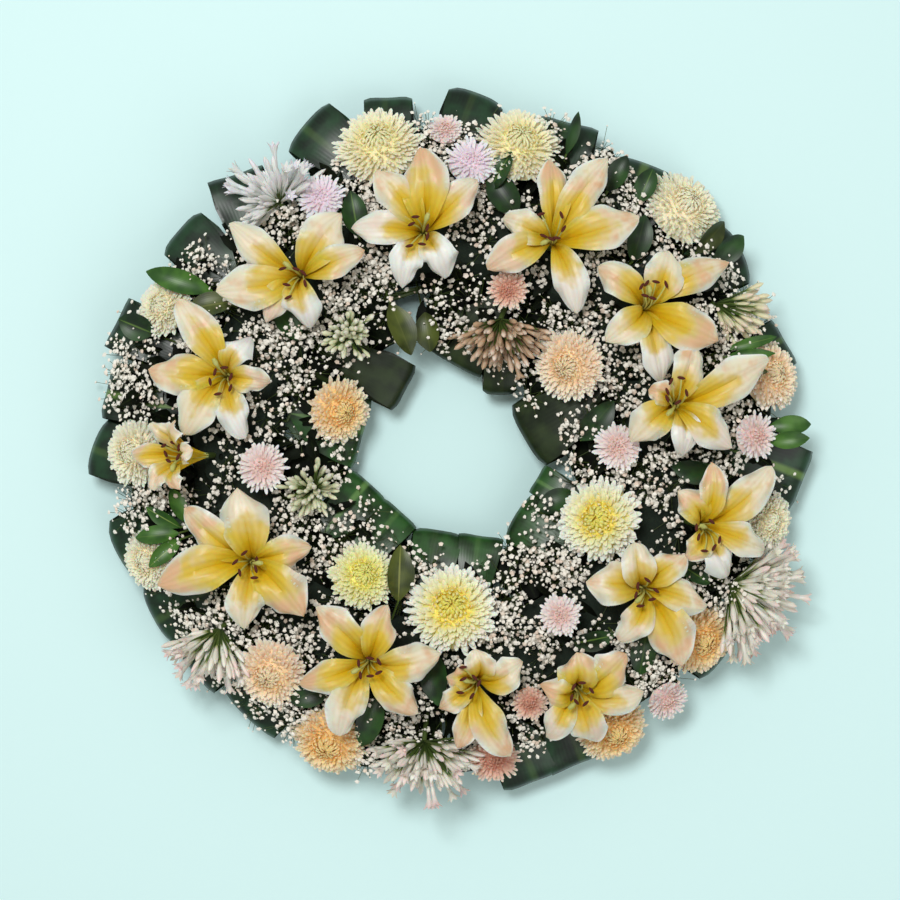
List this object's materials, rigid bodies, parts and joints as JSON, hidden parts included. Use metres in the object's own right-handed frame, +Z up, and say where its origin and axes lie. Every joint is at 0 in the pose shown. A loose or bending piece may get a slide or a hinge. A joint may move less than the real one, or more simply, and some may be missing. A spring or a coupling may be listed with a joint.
{
  "type": "funeral wreath",
  "caption": "Round funeral wreath of cream lilies, chrysanthemums, daisies, agapanthus and gypsophila on a foam ring in a tray, edged with folded leaves.",
  "frame": {"origin": "centre of the ring on the surface that the wreath lies on", "axes": "+Z up and out of the face of the wreath, +Y towards twelve o'clock, +X to the right"},
  "size_m": [0.7376, 0.7298, 0.1558],
  "materials": {
    "tray_plastic": "satin dark green moulded plastic",
    "wet_foam": "matt, finely porous, soaked floral foam",
    "lily_petal": "soft satin petal, cream to peach with a golden throat",
    "chrysanthemum_petal": "matt petal, cream, yellow and peach",
    "daisy_petal": "matt petal, pale pink",
    "agapanthus_floret": "satin white floret on a green stalk",
    "leaf": "glossy dark green leaf",
    "gypsophila_floret": "matt white floret on a thin green stalk"
  },
  "bodies": {
    "root": {"base_tray": "tray_plastic", "foam_ring": "wet_foam", "lily_01": "lily_petal", "lily_02": "lily_petal", "lily_03": "lily_petal", "lily_04": "lily_petal", "lily_05": "lily_petal", "lily_06": "lily_petal", "lily_07": "lily_petal", "lily_08": "lily_petal", "lily_09": "lily_petal", "lily_10": "lily_petal", "lily_11": "lily_petal", "lily_12": "lily_petal", "lily_13": "lily_petal", "chrysanthemum_01": "chrysanthemum_petal", "chrysanthemum_02": "chrysanthemum_petal", "chrysanthemum_03": "chrysanthemum_petal", "chrysanthemum_04": "chrysanthemum_petal", "chrysanthemum_05": "chrysanthemum_petal", "chrysanthemum_06": "chrysanthemum_petal", "chrysanthemum_07": "chrysanthemum_petal", "chrysanthemum_08": "chrysanthemum_petal", "chrysanthemum_09": "chrysanthemum_petal", "chrysanthemum_10": "chrysanthemum_petal", "chrysanthemum_11": "chrysanthemum_petal", "chrysanthemum_12": "chrysanthemum_petal", "chrysanthemum_13": "chrysanthemum_petal", "chrysanthemum_14": "chrysanthemum_petal", "chrysanthemum_15": "chrysanthemum_petal", "chrysanthemum_16": "chrysanthemum_petal", "chrysanthemum_17": "chrysanthemum_petal", "daisy_01": "daisy_petal", "daisy_02": "daisy_petal", "daisy_03": "daisy_petal", "daisy_04": "daisy_petal", "daisy_05": "daisy_petal", "daisy_06": "daisy_petal", "daisy_07": "daisy_petal", "daisy_08": "daisy_petal", "daisy_09": "daisy_petal", "daisy_10": "daisy_petal", "agapanthus_01": "agapanthus_floret", "agapanthus_02": "agapanthus_floret", "agapanthus_03": "agapanthus_floret", "agapanthus_04": "agapanthus_floret", "agapanthus_05": "agapanthus_floret", "agapanthus_06": "agapanthus_floret", "agapanthus_07": "agapanthus_floret", "agapanthus_08": "agapanthus_floret", "outer_leaves_01": "leaf", "outer_leaves_02": "leaf", "outer_leaves_03": "leaf", "outer_leaves_04": "leaf", "outer_leaves_05": "leaf", "outer_leaves_06": "leaf", "inner_leaves_01": "leaf", "inner_leaves_02": "leaf", "inner_leaves_03": "leaf", "gypsophila_spray": "gypsophila_floret"}
  },
  "joints": []
}
